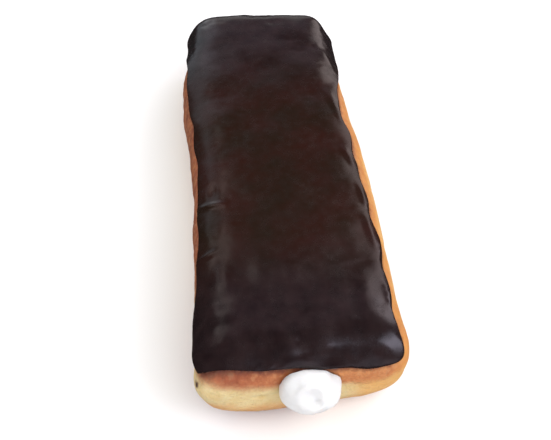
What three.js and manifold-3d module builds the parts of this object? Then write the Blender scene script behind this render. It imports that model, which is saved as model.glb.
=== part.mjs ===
// A long john doughnut: a long bar of fried yeast dough, iced with chocolate on top and filled with cream,
// which shows as a dab at the end where the filling nozzle went in.
// Millimetres, +Z up. The bar runs along Y with its filled end towards -Y and rests on its flat underside.
// The origin is on the table, under the middle of the whole doughnut.

import * as THREE from "three";
import { mergeVertices } from "three/addons/utils/BufferGeometryUtils.js";
import Module from "manifold-3d";

const { smoothstep, lerp, clamp } = THREE.MathUtils;

// The dough bar
const LENGTH = 176.5;
const WIDTH = 64;
const HEIGHT = 33.5;
const SIDE_BULGE = 13; // how far the rounded sides stand out from the flat top, and the corners' radius
const SIDE_SQUARENESS = 2.3; // exponent of the rounded side: 2 is an ellipse, more is squarer
const DOME = 1; // rise of the middle of the top
const LEAN = 0.07; // share of its height by which the filled end is higher at -X and lower at +X
const NEAR_SKEW = 2.7; // how far the filled end's +X corner falls back along the bar
const FAR_SKEW = -2.4; // the same for the closed end, whose -X corner stands further out
const SWELL_SPAN = 22; // length over which one swell of a side fades out
const SWELL_START = 0.25; // share of the height up to which the swells fade in, from straight sides below
const PRESSED = 0.3; // how far its weight presses the underside flat

// How far each corner is pushed out towards square, or drawn in and rounder
const NEAR_CORNERS = { left: 2.9, right: 2.2 };
const FAR_CORNERS = { left: -0.4, right: -3.2 };
const CORNER_START = { across: 0.5, along: 0.8 }; // where a corner starts, as shares of the way to it
const CORNER_HEIGHT = 0.6; // share of the height from which it is pushed all the way

// Swells of the two long sides, left at -X and right at +X: where along the bar, and how far out
const LEFT_SWELLS = [
  { at: 74, out: -2.5 },
  { at: 43, out: 2.1 },
  { at: -8, out: -1.1 },
  { at: -40, out: -0.4 },
];
const RIGHT_SWELLS = [
  { at: 72, out: -1 },
  { at: 36, out: -0.3 },
  { at: -6, out: 1.9 },
  { at: -38, out: 1.5 },
  { at: -74, out: 1 },
];

// The pale waist, where the bar floated in the oil
const WAIST_HEIGHT = 16.5;
const WAIST_HALF = 3.5;
const WAIST_DEPTH = 0.7;
const LUMP_HEIGHT = 0.3; // low lumps all over the crust
const LUMP_TURN = (2 * Math.PI) / 27; // one lump and the next are 27 mm apart
const LUMP_STRETCH = 0.8; // the lumps are longer across the bar than along it

// The chocolate icing, poured on the top
const ICING = 1.6; // thickness
const BEAD = 0.5; // extra thickness just inside the rim, where the icing gathered
const RIM = 0.5; // thickness of the rim itself
const LIP = 1.4; // width of the rounded lip between the bead and the rim
const SHOULDER_DROP = 13.2; // length of the side's curve from the shoulder down to the waist
const CORNER_BLEND = 12; // exponent that blends the edges of two sides into each other at a corner
const RING_CROWDING = 1.5; // how much wider the grid's rings are in the middle of the top than on average

// How far the icing hangs past the shoulder of each side. A negative reach stops short of it.
const REACH = { left: -0.8, right: -5.8, near: 1.4, far: 11 };
const FAR_WRAP = { left: { from: 50, to: 70, drop: 10 }, right: { from: 24, to: 62, drop: 13 } };
const CORNER_RUN = { at: -72, span: 12, drop: 6 }; // a run of icing down the left side by the filled end
const NEAR_SLOPE = 0.11; // the filled end's edge hangs lower towards +X
const NEAR_LIFT = { from: 22, to: 33, rise: 2.4 }; // and lifts again at that corner
const RIGHT_LIFT = { from: -66, to: -84, rise: 3 }; // the right side's edge lifts towards that corner
const WAVE_HEIGHT = 0.45; // the edges wander in two waves of different lengths
const WAVES = [2.9, 4.3];

// Where the filled end's edge sags, on both sides of the cream
const NEAR_SAGS = [
  { at: -12, span: 7, drop: 1.9 },
  { at: 15, span: 7, drop: 1.5 },
];

// The cream
const DAB_CENTRE = { x: 1.3, z: 20.5 };
const DAB_HALF = { x: 9.4, y: 6.4, z: 8 };
const DAB_OUT = 1.5; // how far its middle stands out from the bar
const DAB_TAPER = 0.16; // share by which the dab is wider above than below
const DAB_FOLD = 0.05; // height of its soft folds, as a share of its size
const DAB_FOLDS = 3;
const DAB_TWIST = 3.2; // how far the folds wind round on the way to the tip, in radians
const NOZZLE_RADIUS = 5;
const CORE_RADIUS = 8; // half the width of the cream inside
const CORE_FLATNESS = 0.75; // its height as a share of its width
const CORE_END = 58; // where it stops, short of the closed end
const CORE_TAPER = 14; // length over which the core widens and closes
const CORE_BENDS = 5; // steps of those two curves

const GAP = 0.3; // clearance between the cream and the dough
const ICING_GAP = 0.4; // clearance under the icing, more because both faces are faceted

// Grid steps of the faceted solids
const DOUGH_STEPS = { across: 16, along: 44, up: 10 };
const ICING_STEPS = { across: 22, along: 58 };
const DAB_STEPS = { round: 32, along: 20 };
const CORE_STEPS = 18;

const HALF = new THREE.Vector3(WIDTH / 2, LENGTH / 2, HEIGHT / 2);
const ROUND = new THREE.Vector3(SIDE_BULGE, SIDE_BULGE, HEIGHT / 2);
const AXES = ["x", "y", "z"];

// A bell curve of height 1 that fades out over a span.
const bell = (distance, span) => Math.exp(-((distance / span) ** 2));

// How far one long side stands out at a place along the bar.
const swell = (swells, y) => swells.reduce((sum, s) => sum + s.out * bell(y - s.at, SWELL_SPAN), 0);

// Bends the straight bar into the hand-shaped one: swollen sides, skewed ends, a leaning end, a domed top and
// an underside that its weight pressed flat.
function settle(point) {
  const across = point.x / HALF.x;
  const along = point.y / HALF.y;
  const height = point.z / HEIGHT;
  const nearness = ((1 - along) / 2) ** 2;
  const inCorner =
    smoothstep(Math.abs(across), CORNER_START.across, 1) * smoothstep(Math.abs(along), CORNER_START.along, 1);
  const corners = along < 0 ? NEAR_CORNERS : FAR_CORNERS;
  const push = inCorner * smoothstep(height, 0, CORNER_HEIGHT) * (across < 0 ? corners.left : corners.right);
  const swollen = swell(across < 0 ? LEFT_SWELLS : RIGHT_SWELLS, point.y);
  point.x += across * swollen * smoothstep(height, 0, SWELL_START);
  point.x += Math.sign(across) * push;
  point.y += (along < 0 ? NEAR_SKEW : FAR_SKEW) * across * along ** 2 + Math.sign(along) * push;
  point.z *= 1 - LEAN * across * nearness;
  point.z += DOME * height * (1 - across ** 2) * (1 - along ** 2);
  point.z = Math.max(point.z, PRESSED);
  return point;
}

// The crust's low relief at a point of the straight bar: gentle lumps, none underneath, and a pinched waist.
function relief(point) {
  const along = Math.sin(LUMP_TURN * (point.y + point.z));
  const across = Math.cos(LUMP_TURN * LUMP_STRETCH * (point.x - point.z));
  const lumps = LUMP_HEIGHT * along * across * smoothstep(point.z, 0, WAIST_HEIGHT - WAIST_HALF);
  return lumps - WAIST_DEPTH * bell(point.z - WAIST_HEIGHT, WAIST_HALF);
}

// Carries a point of a cube's skin, with coordinates from -1 to 1, to the bar's skin, grown by an offset.
function barSkin(cube, offset) {
  const point = new THREE.Vector3();
  const normal = new THREE.Vector3();
  for (const axis of AXES) {
    const core = HALF[axis] - ROUND[axis];
    const place = cube[axis] * HALF[axis];
    point[axis] = clamp(place, -core, core);
    normal[axis] = (place - point[axis]) / ROUND[axis];
  }
  const reach = AXES.reduce((sum, axis) => sum + Math.abs(normal[axis]) ** SIDE_SQUARENESS, 0);
  normal.multiplyScalar(reach ** (-1 / SIDE_SQUARENESS));
  for (const axis of AXES) {
    point[axis] += normal[axis] * ROUND[axis];
    normal[axis] = (Math.sign(normal[axis]) * Math.abs(normal[axis]) ** (SIDE_SQUARENESS - 1)) / ROUND[axis];
  }
  point.z += HEIGHT / 2;
  point.addScaledVector(normal.normalize(), offset + relief(point));
  return settle(point);
}

// A geometry with its seams merged and every vertex moved by a function.
function reshape(geometry, move) {
  geometry.deleteAttribute("normal");
  geometry.deleteAttribute("uv");
  const merged = mergeVertices(geometry);
  const place = merged.getAttribute("position");
  const vertex = new THREE.Vector3();
  for (let i = 0; i < place.count; i++) {
    const moved = move(vertex.fromBufferAttribute(place, i));
    place.setXYZ(i, moved.x, moved.y, moved.z);
  }
  return merged;
}

// Splits each four-sided cell of a reshaped box along its shorter diagonal, which keeps tight bends smooth.
// A box lists a cell as two triangles that share the corners b and d: a, b, d and b, c, d.
function splitShort(geometry) {
  const place = geometry.getAttribute("position");
  const corner = (i) => new THREE.Vector3().fromBufferAttribute(place, i);
  const index = geometry.index.array;
  for (let cell = 0; cell < index.length; cell += 6) {
    const [a, b, d, , c] = index.slice(cell, cell + 5);
    const other = corner(a).distanceTo(corner(c));
    if (other < corner(b).distanceTo(corner(d))) index.set([a, b, c, a, c, d], cell);
  }
  return geometry;
}

// The whole bar, with no hole in it yet.
function barGeometry() {
  const { across, along, up } = DOUGH_STEPS;
  const cells = new THREE.BoxGeometry(2, 2, 2, across, along, up);
  return splitShort(reshape(cells, (cube) => barSkin(cube, 0)));
}

// How an edge of the icing wanders along its side.
const wander = (place) => WAVES.reduce((sum, wave, i) => sum + WAVE_HEIGHT * Math.sin(place / wave + i), 0);

// The icing that comes down a long side towards the closed end.
const wrap = (side, y) => FAR_WRAP[side].drop * smoothstep(y, FAR_WRAP[side].from, FAR_WRAP[side].to);

// The icing's reach at each side of the bar.
const reachLeft = (y) =>
  REACH.left + wander(y) + wrap("left", y) + CORNER_RUN.drop * bell(y - CORNER_RUN.at, CORNER_RUN.span);
const rightLift = (y) => RIGHT_LIFT.rise * smoothstep(-y, -RIGHT_LIFT.from, -RIGHT_LIFT.to);
const reachRight = (y) => REACH.right + wander(y) + wrap("right", y) - rightLift(y);
const nearSag = (x) => NEAR_SAGS.reduce((sum, s) => sum + s.drop * bell(x - s.at, s.span), 0);
const nearLift = (x) => NEAR_LIFT.rise * smoothstep(x, NEAR_LIFT.from, NEAR_LIFT.to);
const reachNear = (x) => REACH.near + wander(x) / 2 + NEAR_SLOPE * x + nearSag(x) - nearLift(x);
const reachFar = (x) => REACH.far + 2 * wander(x);

// The icing's reach at a point of the unit square's rim, blended from the sides that meet there.
function reachAt(across, along) {
  const x = across * HALF.x;
  const y = along * HALF.y;
  const sides = [
    [-across, reachLeft(y)],
    [across, reachRight(y)],
    [-along, reachNear(x)],
    [along, reachFar(x)],
  ];
  let total = 0;
  let weights = 0;
  for (const [nearness, reach] of sides) {
    const weight = Math.max(nearness, 0) ** CORNER_BLEND;
    total += weight * reach;
    weights += weight;
  }
  return total / weights;
}

// Carries a crossing of the icing's grid to one of its faces. Rings of the grid run in from the rim to a line
// along the middle of the top, crowding where the bar curves down, and the outermost ring is the rounded lip.
function icingSkin(column, row, outer) {
  const { across, along } = ICING_STEPS;
  const rings = across / 2;
  const ring = Math.min(column, across - column, row, along - row);
  const placeOn = (index, steps) => (steps > 2 * ring ? (2 * (index - ring)) / (steps - 2 * ring) - 1 : 1);
  const square = new THREE.Vector2(placeOn(column, across), placeOn(row, along));
  const whole = HALF.x + reachAt(square.x, square.y);
  const share = (rings - ring) / (rings - 1);
  const crowded = share * lerp(RING_CROWDING, 1, share);
  const path = ring === 0 ? whole : (whole - LIP) * crowded;
  const onTop = Math.max(HALF.x - path, 0);
  const drop = Math.max(path - HALF.x, 0) / SHOULDER_DROP;
  const cube = new THREE.Vector3(square.x * (1 - onTop / HALF.x), square.y * (1 - onTop / HALF.y), 1 - drop);
  const thickness = ring === 0 ? RIM : ICING + BEAD * bell(whole - LIP - path, 2 * LIP);
  return barSkin(cube, ICING_GAP + (outer ? thickness : 0));
}

function icingGeometry() {
  const { across, along } = ICING_STEPS;
  const cells = new THREE.BoxGeometry(across, along, 2, across, along, 1);
  const toGrid = (place, steps) => Math.round(place + steps / 2);
  return splitShort(
    reshape(cells, (slab) => icingSkin(toGrid(slab.x, across), toGrid(slab.y, along), slab.z > 0)),
  );
}

// Where the bar's filled end stands at a height, grown by an offset.
function endFace(x, z, offset) {
  const rise = clamp((2 * z) / HEIGHT - 1, -1, 1);
  return barSkin(new THREE.Vector3(clamp(x / HALF.x, -1, 1), -1, rise), offset).y;
}

// The dab of cream: a soft drop with winding folds, wider above, flattened where it lies on the bar's end.
function dabGeometry() {
  const face = endFace(DAB_CENTRE.x, DAB_CENTRE.z, 0);
  const sphere = new THREE.SphereGeometry(1, DAB_STEPS.round, DAB_STEPS.along);
  return reshape(sphere, (ball) => {
    const round = Math.atan2(ball.z, ball.x);
    const toTip = Math.acos(clamp(-ball.y, -1, 1));
    const fold = 1 + DAB_FOLD * Math.sin(DAB_FOLDS * round + DAB_TWIST * toTip) * Math.sin(toTip);
    const x = DAB_CENTRE.x + ball.x * DAB_HALF.x * fold * (1 + DAB_TAPER * ball.z);
    const z = DAB_CENTRE.z + ball.z * DAB_HALF.z * fold;
    const y = face - DAB_OUT + ball.y * DAB_HALF.y * fold;
    return new THREE.Vector3(x, Math.min(y, endFace(x, z, GAP)), z);
  });
}

// The cream inside the bar, from the nozzle's hole to a rounded end, grown by an offset.
function coreGeometry(offset) {
  const face = endFace(DAB_CENTRE.x, DAB_CENTRE.z, 0);
  const start = face - DAB_HALF.y / 2;
  const mouth = face + DAB_HALF.y / 2;
  const profile = [new THREE.Vector2(0, start), new THREE.Vector2(NOZZLE_RADIUS + offset, start)];
  for (let i = 0; i <= CORE_BENDS; i++) {
    const along = i / CORE_BENDS;
    const radius = lerp(NOZZLE_RADIUS, CORE_RADIUS, smoothstep(along, 0, 1));
    profile.push(new THREE.Vector2(radius + offset, mouth + along * CORE_TAPER));
  }
  for (let i = 0; i < CORE_BENDS; i++) {
    const angle = (i / CORE_BENDS) * (Math.PI / 2);
    const radius = (CORE_RADIUS + offset) * Math.cos(angle);
    profile.push(new THREE.Vector2(radius, CORE_END - CORE_TAPER + (CORE_TAPER + offset) * Math.sin(angle)));
  }
  profile.push(new THREE.Vector2(0, CORE_END + offset));
  const lathe = new THREE.LatheGeometry(profile, CORE_STEPS);
  return reshape(lathe, (point) =>
    point.set(DAB_CENTRE.x + point.x, point.y, DAB_CENTRE.z + point.z * CORE_FLATNESS),
  );
}

const wasm = await Module();
wasm.setup();

// A closed geometry as a solid that can be joined and cut.
function toSolid(geometry) {
  const vertProperties = geometry.getAttribute("position").array;
  const triVerts = new Uint32Array(geometry.index.array);
  return new wasm.Manifold(new wasm.Mesh({ numProp: 3, vertProperties, triVerts }));
}

// A joined or cut solid as a geometry again.
function toGeometry(solid) {
  const { vertProperties, triVerts } = solid.getMesh();
  const geometry = new THREE.BufferGeometry();
  geometry.setAttribute("position", new THREE.BufferAttribute(vertProperties, 3));
  geometry.setIndex(new THREE.BufferAttribute(triVerts, 1));
  return geometry;
}

function piece(name, geometry, material) {
  geometry.computeVertexNormals();
  const mesh = new THREE.Mesh(geometry, new THREE.MeshStandardMaterial(material));
  mesh.name = name;
  return mesh;
}

const bar = new THREE.Group();
const dough = toSolid(barGeometry()).subtract(toSolid(coreGeometry(GAP)));
const cream = toSolid(dabGeometry()).add(toSolid(coreGeometry(0)));
bar.add(
  piece("dough", toGeometry(dough), { color: 0xc4804e, roughness: 0.6, metalness: 0 }),
  piece("icing", icingGeometry(), { color: 0x2d1d19, roughness: 0.25, metalness: 0 }),
  piece("cream", toGeometry(cream), { color: 0xf8f7f4, roughness: 0.5, metalness: 0 }),
);

// Stands the doughnut on the table with the middle of its box over the origin.
const doughnut = new THREE.Group();
const box = new THREE.Box3().setFromObject(bar);
const middle = box.getCenter(new THREE.Vector3());
bar.position.set(-middle.x, -middle.y, -box.min.z);
doughnut.add(bar);

export default doughnut;
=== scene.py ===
# %% [markdown]
# # A long john doughnut
#
# A long john is a bar of yeast dough. It floats in hot oil and is turned once, so that its top
# and underside brown and a pale band is left round the waist. Its top is then dipped in chocolate
# icing, and a nozzle pushed into one end fills it with cream, which leaves a dab where the nozzle
# came out.
#
# The plain solids of the three pieces are loaded first, as a fixed frame. Each step below models
# a finer piece that stands in the place of one solid, so nothing has to be fitted at the end.

# %% Load the solids
import math

import bmesh
import bpy
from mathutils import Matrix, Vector, noise
from mathutils.bvhtree import BVHTree


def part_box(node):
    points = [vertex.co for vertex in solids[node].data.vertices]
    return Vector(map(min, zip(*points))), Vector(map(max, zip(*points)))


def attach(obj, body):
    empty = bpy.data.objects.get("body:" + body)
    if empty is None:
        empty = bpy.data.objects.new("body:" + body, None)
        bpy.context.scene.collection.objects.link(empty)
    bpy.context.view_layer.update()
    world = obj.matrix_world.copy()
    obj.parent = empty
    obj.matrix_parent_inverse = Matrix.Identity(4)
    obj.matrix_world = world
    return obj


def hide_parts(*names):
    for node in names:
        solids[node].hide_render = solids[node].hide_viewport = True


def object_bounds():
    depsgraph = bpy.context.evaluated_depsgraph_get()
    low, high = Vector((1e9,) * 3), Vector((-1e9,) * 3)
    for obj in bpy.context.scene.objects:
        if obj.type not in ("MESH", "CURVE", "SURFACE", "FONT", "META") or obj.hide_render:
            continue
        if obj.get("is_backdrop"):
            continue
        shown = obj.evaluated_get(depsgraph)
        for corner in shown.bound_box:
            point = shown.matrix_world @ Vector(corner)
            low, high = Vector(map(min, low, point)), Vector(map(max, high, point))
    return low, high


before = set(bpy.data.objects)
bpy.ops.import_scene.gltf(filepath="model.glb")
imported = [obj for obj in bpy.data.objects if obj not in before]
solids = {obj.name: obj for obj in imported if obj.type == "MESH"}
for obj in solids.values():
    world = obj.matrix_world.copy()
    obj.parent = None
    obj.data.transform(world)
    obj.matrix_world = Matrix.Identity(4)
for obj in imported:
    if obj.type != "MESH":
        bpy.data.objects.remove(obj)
cad_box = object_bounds()
MM = 0.001

for name in sorted(solids):
    low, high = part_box(name)
    size = (high - low) / MM
    print(f"solid {name}: {size.x:.1f} x {size.y:.1f} x {size.z:.1f} mm")

# %% [markdown]
# ## The camera
#
# A camera could be placed by eye, but the bar's outline gives it away: its near end looks wider
# than its far end, and how much wider says how close the lens was. The direction, distance and
# focal length below come from that fit, so the model lines up with the picture without any shift.

# %% Set the camera
PICTURE_WIDTH = 551  # pixels
FOCAL_LENGTH = 740  # pixels
SENSOR_WIDTH = 36  # mm
VIEW_HEIGHT = math.radians(49.03)  # above the horizon
VIEW_TURN = math.radians(-5.67)  # from straight in front of the cream end
VIEW_DISTANCE = 263.4 * MM
VIEW_AIM = Vector((-2.246, -17.584, 16.35)) * MM
CLIP_START = 10 * MM


def towards(turn, height):
    """The direction from the doughnut to a viewer or a light, from its turn and height."""
    flat = math.cos(height)
    return Vector((math.sin(turn) * flat, -math.cos(turn) * flat, math.sin(height)))


to_viewer = towards(VIEW_TURN, VIEW_HEIGHT)
bpy.ops.object.camera_add(location=VIEW_AIM + to_viewer * VIEW_DISTANCE)
camera = bpy.context.object
camera.rotation_euler = to_viewer.to_track_quat("Z", "Y").to_euler()
camera.data.sensor_width = SENSOR_WIDTH
camera.data.lens = SENSOR_WIDTH * FOCAL_LENGTH / PICTURE_WIDTH
camera.data.clip_start = CLIP_START
bpy.context.scene.camera = camera
print(f"camera: {camera.data.lens:.1f} mm lens, {VIEW_DISTANCE / MM:.0f} mm away")

# %% [markdown]
# ## Where the filling lies
#
# The filling is piped in through a hole in the end face. Inside it is a soft rod, and outside it
# ends in a dab. Its places could be typed in, but measuring them on the solids is safer: the
# rod's box comes from the half that lies deep in the bar, and a ray that is cast at the end face
# just over the hole says where the dab begins.

# %% Measure the filling
OVER_HOLE = 6.5  # mm above the rod's middle, where the end face is free of the hole
DAB_FROM = 1  # mm in front of the end face


def span(points):
    """Lowest and highest corner of some points."""
    low = Vector(min(point[axis] for point in points) for axis in range(3))
    high = Vector(max(point[axis] for point in points) for axis in range(3))
    return low, high


def extents(node, rule):
    """Lowest and highest corner, in mm, of the vertices of a solid that pass a rule."""
    points = [vertex.co / MM for vertex in solids[node].data.vertices]
    return span([point for point in points if rule(point)])


rod_low, rod_high = extents("cream", lambda point: point.y > 0)
rod_middle = (rod_low + rod_high) / 2
rod_half = (rod_high - rod_low) / 2
ray_start = Vector((rod_middle.x, cad_box[0].y / MM, rod_middle.z + OVER_HOLE)) * MM
END_FACE = solids["dough"].ray_cast(ray_start, Vector((0, 1, 0)))[1].y / MM
dab_low, dab_high = extents("cream", lambda point: point.y < END_FACE - DAB_FROM)
print(f"end face at y {END_FACE:.1f} mm, dab {dab_high.x - dab_low.x:.1f} mm wide")

# %% [markdown]
# ## The dab of cream
#
# A dab is one soft drop without any edge. It could be sculpted freely, but a ball whose poles lie
# along the bar is a better start, because its rings can later be pulled on into the bar. The ball
# is added a little larger than the dab and a Shrinkwrap modifier lays it on the solid. Picking an
# object, applying a modifier and wrapping come back in later steps, so they are short helpers.

# %% Lay a ball on the dab
DAB_SEGMENTS = 72
DAB_RINGS = 44
DAB_MARGIN = 1.06  # the ball starts a little larger than the dab
DAB_BACK = 1.5  # mm from the end face to the ball's middle
DAB_REACH = 0.4  # mm that the ball stands out past the dab


def pick(piece):
    """Selects one object alone and makes it the active one."""
    bpy.ops.object.select_all(action="DESELECT")
    piece.select_set(True)
    bpy.context.view_layer.objects.active = piece


def apply(piece, kind, **settings):
    """Adds one modifier to a piece and applies it at once."""
    pick(piece)
    bpy.ops.object.modifier_add(type=kind)
    modifier = piece.modifiers[-1]
    for key, value in settings.items():
        setattr(modifier, key, value)
    bpy.ops.object.modifier_apply(modifier=modifier.name)


def wrap(piece, target, **settings):
    """Lays a piece on the nearest places of another one."""
    apply(piece, "SHRINKWRAP", target=target, wrap_method="NEAREST_SURFACEPOINT", **settings)


dab_middle = (dab_low + dab_high) / 2
dab_half = (dab_high - dab_low) / 2 * DAB_MARGIN
ball_y = END_FACE - DAB_BACK
bpy.ops.object.select_all(action="DESELECT")
bpy.ops.mesh.primitive_uv_sphere_add(
    segments=DAB_SEGMENTS,
    ring_count=DAB_RINGS,
    radius=MM,
    location=Vector((dab_middle.x, ball_y, dab_middle.z)) * MM,
    rotation=(math.pi / 2, 0, 0),
)
cream = bpy.context.object
cream.name = "cream_filling"
cream.scale = (dab_half.x, dab_half.z, ball_y - dab_low.y + DAB_REACH)
bpy.ops.object.transform_apply(location=True, rotation=True, scale=True)
wrap(cream, solids["cream"])
print(f"dab: {len(cream.data.vertices)} vertices on the solid")

# %% [markdown]
# ## The filling behind the dab
#
# The nozzle leaves a narrow hole, and behind it the cream spreads to a rounded rod. The rod could
# be a second object, but cream has no seam there. So the back of the ball is deleted, and the
# open rim is extruded ring by ring: in through the neck, wider to the rod, along it and to its
# round end.

# %% Extrude the neck and the rod
BACK_CUT = 0.6  # mm in front of the end face
NECK_HALF = 5  # mm
NECK_LENGTH = 3.2  # mm
TAPER = 14  # mm, at both ends of the rod
TAPER_STEPS = 5
ROD_STEPS = 12


def ease(start, end, value):
    """Runs smoothly from 0 at start to 1 at end."""
    part = min(max((value - start) / (end - start), 0), 1)
    return part * part * (3 - 2 * part)


def edit(piece):
    """Goes into edit mode with nothing selected."""
    pick(piece)
    bpy.ops.object.mode_set(mode="EDIT")
    bpy.ops.mesh.select_mode(type="VERT")
    bpy.ops.mesh.select_all(action="DESELECT")


def choose(piece, rule):
    """In edit mode, selects the vertices whose place in mm passes a rule."""
    mesh = bmesh.from_edit_mesh(piece.data)
    for vertex in mesh.verts:
        vertex.select_set(rule(vertex.co / MM))
    mesh.select_flush_mode()
    bmesh.update_edit_mesh(piece.data)


def extrude_ring(piece, y, half_x, half_z):
    """Extrudes the selected rim along the bar to y and sizes the new ring, in mm."""
    vertices = bmesh.from_edit_mesh(piece.data).verts
    low, high = span([vertex.co / MM for vertex in vertices if vertex.select])
    middle = (low + high) / 2
    way = (0, (y - middle.y) * MM, 0)
    bpy.ops.mesh.extrude_edges_move(TRANSFORM_OT_translate={"value": way})
    scale = (2 * half_x / (high.x - low.x), 1, 2 * half_z / (high.z - low.z))
    bpy.ops.transform.resize(value=scale, center_override=Vector((middle.x, y, middle.z)) * MM)


def triangles(piece):
    """How many triangles a piece has."""
    return sum(len(face.vertices) - 2 for face in piece.data.polygons)


edit(cream)
choose(cream, lambda point: point.y > END_FACE - BACK_CUT)
bpy.ops.mesh.delete(type="VERT")
bpy.ops.mesh.select_mode(type="EDGE")
bpy.ops.mesh.select_non_manifold(extend=False)
flatness = rod_half.z / rod_half.x
mouth = END_FACE + NECK_LENGTH
extrude_ring(cream, END_FACE, NECK_HALF, NECK_HALF * flatness)
for step in range(TAPER_STEPS + 1):
    part = step / TAPER_STEPS
    half = NECK_HALF + (rod_half.x - NECK_HALF) * ease(0, 1, part)
    extrude_ring(cream, mouth + part * TAPER, half, half * flatness)
rod_end = rod_high.y - TAPER
for step in range(1, ROD_STEPS + 1):
    y = mouth + TAPER + (rod_end - mouth - TAPER) * step / ROD_STEPS
    extrude_ring(cream, y, rod_half.x, rod_half.z)
for step in range(1, TAPER_STEPS + 1):
    angle = step / (TAPER_STEPS + 1) * math.pi / 2
    half = rod_half.x * math.cos(angle)
    extrude_ring(cream, rod_end + TAPER * math.sin(angle), half, half * flatness)
bpy.ops.mesh.edge_face_add()
bpy.ops.mesh.select_all(action="SELECT")
bpy.ops.mesh.normals_make_consistent(inside=False)
bpy.ops.object.mode_set(mode="OBJECT")
print(f"filling: {triangles(cream)} triangles, from y {dab_low.y:.1f} to {rod_high.y:.1f} mm")

# %% [markdown]
# ## The outline of the dab
#
# Cream stays as it was squeezed, here flat on top and drawn in at the lower left. A brush would
# drag such a shape, and a move with proportional editing does the same: one vertex goes the whole
# way, and the skin round it follows less and less. The falloff runs along the skin, so the rod
# stays put.

# %% Drag the dab into shape
# The place that is dragged, how far, and how much of the skin goes along, mm.
DAB_SLIDES = [
    (Vector((-4, END_FACE - 3.5, 27)), Vector((0.2, -0.8, 3)), 9),
    (Vector((3, END_FACE - 3.5, 28)), Vector((0, -0.6, 2.2)), 8),
    (Vector((-8.5, END_FACE - 3, 22)), Vector((0.6, 0, 0)), 6),
    (Vector((-7, END_FACE - 5, 12)), Vector((1, 0, 0.8)), 6),
    (Vector((5, END_FACE - 6, 9)), Vector((0.2, -0.5, -1.4)), 6),
    (Vector((9, END_FACE - 4, 26)), Vector((-1.1, 0.2, -1.4)), 6),
]
SAME_PLACE = 0.01  # mm, less than lies between any two vertices


def subdivide(piece, levels):
    """Rounds a piece off with a subdivision surface."""
    apply(piece, "SUBSURF", levels=levels, render_levels=levels)


def slide(piece, place, drag, reach):
    """Takes the vertex nearest to a place and drags it with the skin round it, all in mm."""
    points = [vertex.co / MM for vertex in piece.data.vertices]
    nearest = min(points, key=lambda point: (point - place).length)
    edit(piece)
    choose(piece, lambda point: (point - nearest).length < SAME_PLACE)
    bpy.ops.transform.translate(
        value=drag * MM,
        use_proportional_edit=True,
        use_proportional_connected=True,
        proportional_edit_falloff="SMOOTH",
        proportional_size=reach * MM,
    )
    bpy.ops.object.mode_set(mode="OBJECT")


subdivide(cream, 1)
for place, drag, reach in DAB_SLIDES:
    slide(cream, place, drag, reach)
print(f"dab: dragged at {len(DAB_SLIDES)} places")

# %% [markdown]
# ## The fold in the cream
#
# When the nozzle turns away, the cream folds over once on the left and sinks in where the nozzle
# was. Fold and hollow could be painted, but only a dent in the mesh catches the light from every
# side. A rule gives each vertex a weight from its place, as the viewer sees it, and a Displace
# modifier presses the surface in by that weight.

# %% Press in the fold and the hollow
SWIRL_MIDDLE = Vector((rod_middle.x + 0.4, END_FACE - 4, rod_middle.z - 0.6))
SWIRL_START = 6.4  # mm from the middle, at the left
SWIRL_TIGHTENING = 4  # mm less after each turn
SWIRL_TURNS = 0.75
SWIRL_FADE = (0.12, 0.2)  # turns, at its start and at its end
GROOVE_INSIDE = 1.6  # mm, its steep side
GROOVE_OUTSIDE = 3  # mm, its gentle side
GROOVE_DEPTH = 0.9  # mm
GROOVE_FACING = -0.2  # faces that look further away from the viewer have no groove
HOLLOW_HALF = 4.6  # mm
HOLLOW_DEPTH = 1.5  # mm
PIT_PLACE = (1.1, -1.9)  # mm, right and up from the middle
PIT_HALF = 2.1  # mm
PIT_DEPTH = 1.5  # mm
FREE_FACE = END_FACE - 0.4  # mm, what lies behind it isn't pressed
CREAM_CLOUDS = (3.5, 0.5)  # grain and height, mm
CREAM_ROUNDS = 3  # of smoothing

to_right = Vector((0, 0, 1)).cross(to_viewer).normalized()
to_top = to_viewer.cross(to_right)


def bell(offset, reach):
    """A soft hump: 1 in the middle, 0 from its reach on."""
    part = min(abs(offset) / reach, 1)
    return (1 - part * part) ** 2


def weigh(piece, name, rule):
    """A vertex group whose weights a rule gives from place and normal, in mm."""
    group = piece.vertex_groups.new(name=name)
    for vertex in piece.data.vertices:
        weight = rule(vertex.co / MM, vertex.normal)
        if weight > 0:
            group.add([vertex.index], min(weight, 1), "REPLACE")
    return group.name


def push(piece, name, height, rule, direction="NORMAL"):
    """Moves the surface out, or along an axis, by a height in mm and a rule's weights."""
    group = weigh(piece, name, rule)
    apply(piece, "DISPLACE", vertex_group=group, strength=height * MM, mid_level=0,
          direction=direction)


def ripple(piece, name, grain, height, group="", direction="NORMAL"):
    """Makes the surface uneven by soft clouds, grain and height in mm."""
    clouds = bpy.data.textures.new(name, "CLOUDS")
    clouds.noise_scale = grain * MM
    apply(piece, "DISPLACE", texture=clouds, strength=height * MM, mid_level=0.5,
          vertex_group=group, direction=direction)


def smooth(piece, rounds):
    """Evens a surface out, a little more with each round."""
    apply(piece, "SMOOTH", factor=0.5, iterations=rounds)


def on_swirl(point):
    """A place on the dab as the viewer sees it: right and up from the swirl's middle, in mm."""
    offset = point - SWIRL_MIDDLE
    return offset.dot(to_right), offset.dot(to_top)


def groove(point, normal):
    """How deep the spiral fold is at a place, from 0 to 1."""
    if point.y > FREE_FACE or normal.dot(to_viewer) < GROOVE_FACING:
        return 0
    right, up = on_swirl(point)
    turns = (math.pi - math.atan2(up, right)) / math.tau
    along = ease(0, SWIRL_FADE[0], turns) * ease(SWIRL_TURNS, SWIRL_TURNS - SWIRL_FADE[1], turns)
    offset = math.hypot(right, up) - SWIRL_START + SWIRL_TIGHTENING * turns
    return along * bell(offset, GROOVE_OUTSIDE if offset > 0 else GROOVE_INSIDE)


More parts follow.
